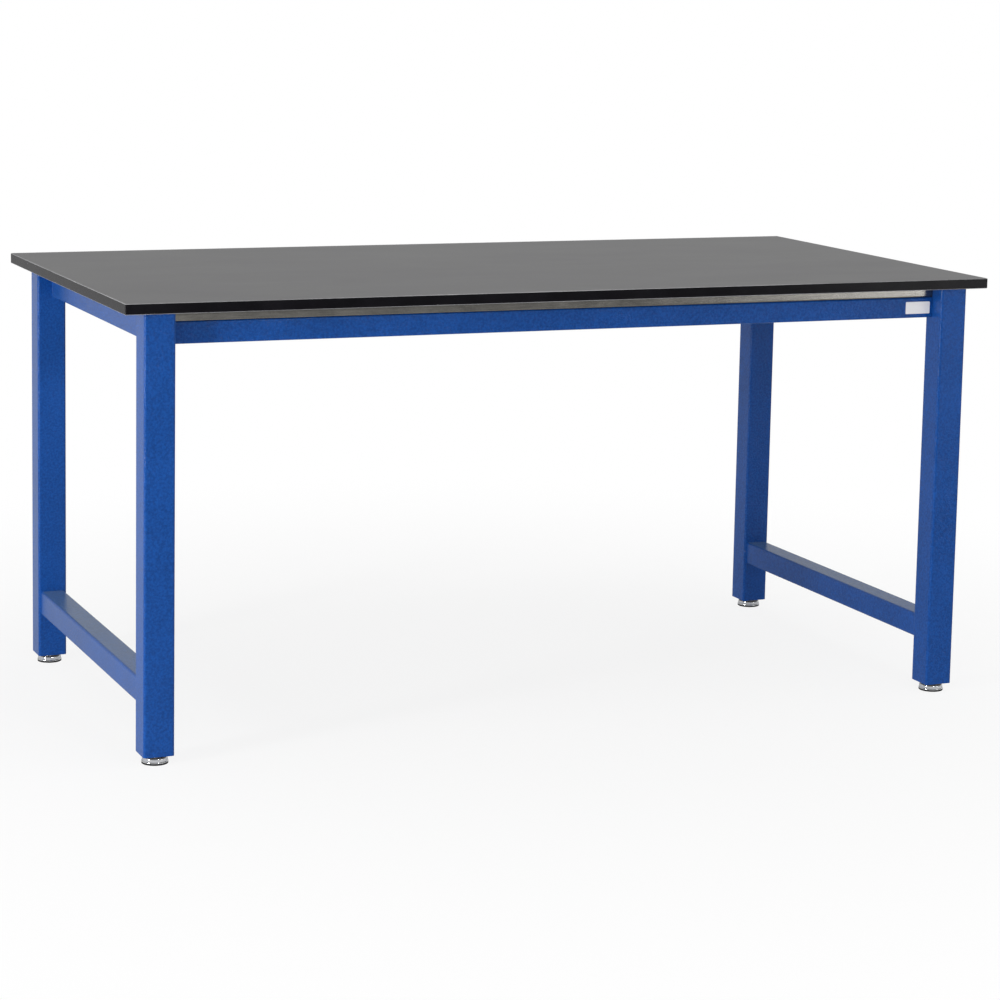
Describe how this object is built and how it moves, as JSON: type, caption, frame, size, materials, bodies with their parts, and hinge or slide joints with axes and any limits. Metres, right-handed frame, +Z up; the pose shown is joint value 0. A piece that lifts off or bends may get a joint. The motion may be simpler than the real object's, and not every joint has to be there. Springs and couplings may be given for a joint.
{
  "type": "lab bench",
  "caption": "Free-standing lab bench: flat black resin top on a blue tubular steel frame with levelling glides.",
  "frame": {"origin": "on the floor, under the middle of the worktop", "axes": "+X along the bench to the right, +Y from the front to the rear, +Z up"},
  "size_m": [1.829, 0.914, 0.875],
  "materials": {
    "resin": "satin black laboratory resin",
    "blue_paint": "glossy powder coat with light orange peel",
    "bare_steel": "bare rolled steel",
    "chrome": "bright plated",
    "black_nylon": "moulded nylon",
    "brass": "machined",
    "white_label": "blank film label",
    "plate_steel": "powder coat over welded steel",
    "zinc_steel": "zinc plated"
  },
  "bodies": {
    "frame": {"bracket_bolts": "zinc_steel", "bracket_nuts": "zinc_steel", "channel_front": "bare_steel", "channel_rear": "bare_steel", "channel_screws": "zinc_steel", "corner_bracket_front_left": "blue_paint", "corner_bracket_front_right": "blue_paint", "corner_bracket_rear_left": "blue_paint", "corner_bracket_rear_right": "blue_paint", "end_rail_left": "blue_paint", "end_rail_right": "blue_paint", "foot_plate_front_left": "plate_steel", "foot_plate_front_right": "plate_steel", "foot_plate_rear_left": "plate_steel", "foot_plate_rear_right": "plate_steel", "label": "white_label", "leg_front_left": "blue_paint", "leg_front_right": "blue_paint", "leg_rear_left": "blue_paint", "leg_rear_right": "blue_paint", "stretcher_left": "blue_paint", "stretcher_right": "blue_paint", "stringer_front": "blue_paint", "stringer_rear": "blue_paint", "thread_bush_front_left": "plate_steel", "thread_bush_front_right": "plate_steel", "thread_bush_rear_left": "plate_steel", "thread_bush_rear_right": "plate_steel", "worktop": "resin", "worktop_inserts": "brass", "worktop_screws": "zinc_steel"},
    "glide_front_left": {"glide_cup_front_left": "chrome", "glide_pad_front_left": "black_nylon"},
    "stem_front_left": {"glide_stem_front_left": "zinc_steel"},
    "glide_front_right": {"glide_cup_front_right": "chrome", "glide_pad_front_right": "black_nylon"},
    "stem_front_right": {"glide_stem_front_right": "zinc_steel"},
    "glide_rear_left": {"glide_cup_rear_left": "chrome", "glide_pad_rear_left": "black_nylon"},
    "stem_rear_left": {"glide_stem_rear_left": "zinc_steel"},
    "glide_rear_right": {"glide_cup_rear_right": "chrome", "glide_pad_rear_right": "black_nylon"},
    "stem_rear_right": {"glide_stem_rear_right": "zinc_steel"}
  },
  "joints": [
    {"name": "glide_travel_front_left", "type": "slide", "parent": "frame", "child": "glide_front_left", "axis": [0, 0, -1], "range_m": [0, 0.022]},
    {"name": "stem_turn_front_left", "type": "hinge", "parent": "glide_front_left", "child": "stem_front_left", "pos_m": [-0.8445, -0.412, 0.04], "axis": [0, 0, -1], "range_deg": [0, 5281]},
    {"name": "glide_travel_front_right", "type": "slide", "parent": "frame", "child": "glide_front_right", "axis": [0, 0, -1], "range_m": [0, 0.022]},
    {"name": "stem_turn_front_right", "type": "hinge", "parent": "glide_front_right", "child": "stem_front_right", "pos_m": [0.8445, -0.412, 0.04], "axis": [0, 0, -1], "range_deg": [0, 5281]},
    {"name": "glide_travel_rear_left", "type": "slide", "parent": "frame", "child": "glide_rear_left", "axis": [0, 0, -1], "range_m": [0, 0.022]},
    {"name": "stem_turn_rear_left", "type": "hinge", "parent": "glide_rear_left", "child": "stem_rear_left", "pos_m": [-0.8445, 0.412, 0.04], "axis": [0, 0, -1], "range_deg": [0, 5281]},
    {"name": "glide_travel_rear_right", "type": "slide", "parent": "frame", "child": "glide_rear_right", "axis": [0, 0, -1], "range_m": [0, 0.022]},
    {"name": "stem_turn_rear_right", "type": "hinge", "parent": "glide_rear_right", "child": "stem_rear_right", "pos_m": [0.8445, 0.412, 0.04], "axis": [0, 0, -1], "range_deg": [0, 5281]}
  ],
  "couplings": [
    {"joint": "stem_turn_front_left", "follows": "glide_travel_front_left", "rad_per_m": 4189},
    {"joint": "stem_turn_front_right", "follows": "glide_travel_front_right", "rad_per_m": 4189},
    {"joint": "stem_turn_rear_left", "follows": "glide_travel_rear_left", "rad_per_m": 4189},
    {"joint": "stem_turn_rear_right", "follows": "glide_travel_rear_right", "rad_per_m": 4189}
  ]
}
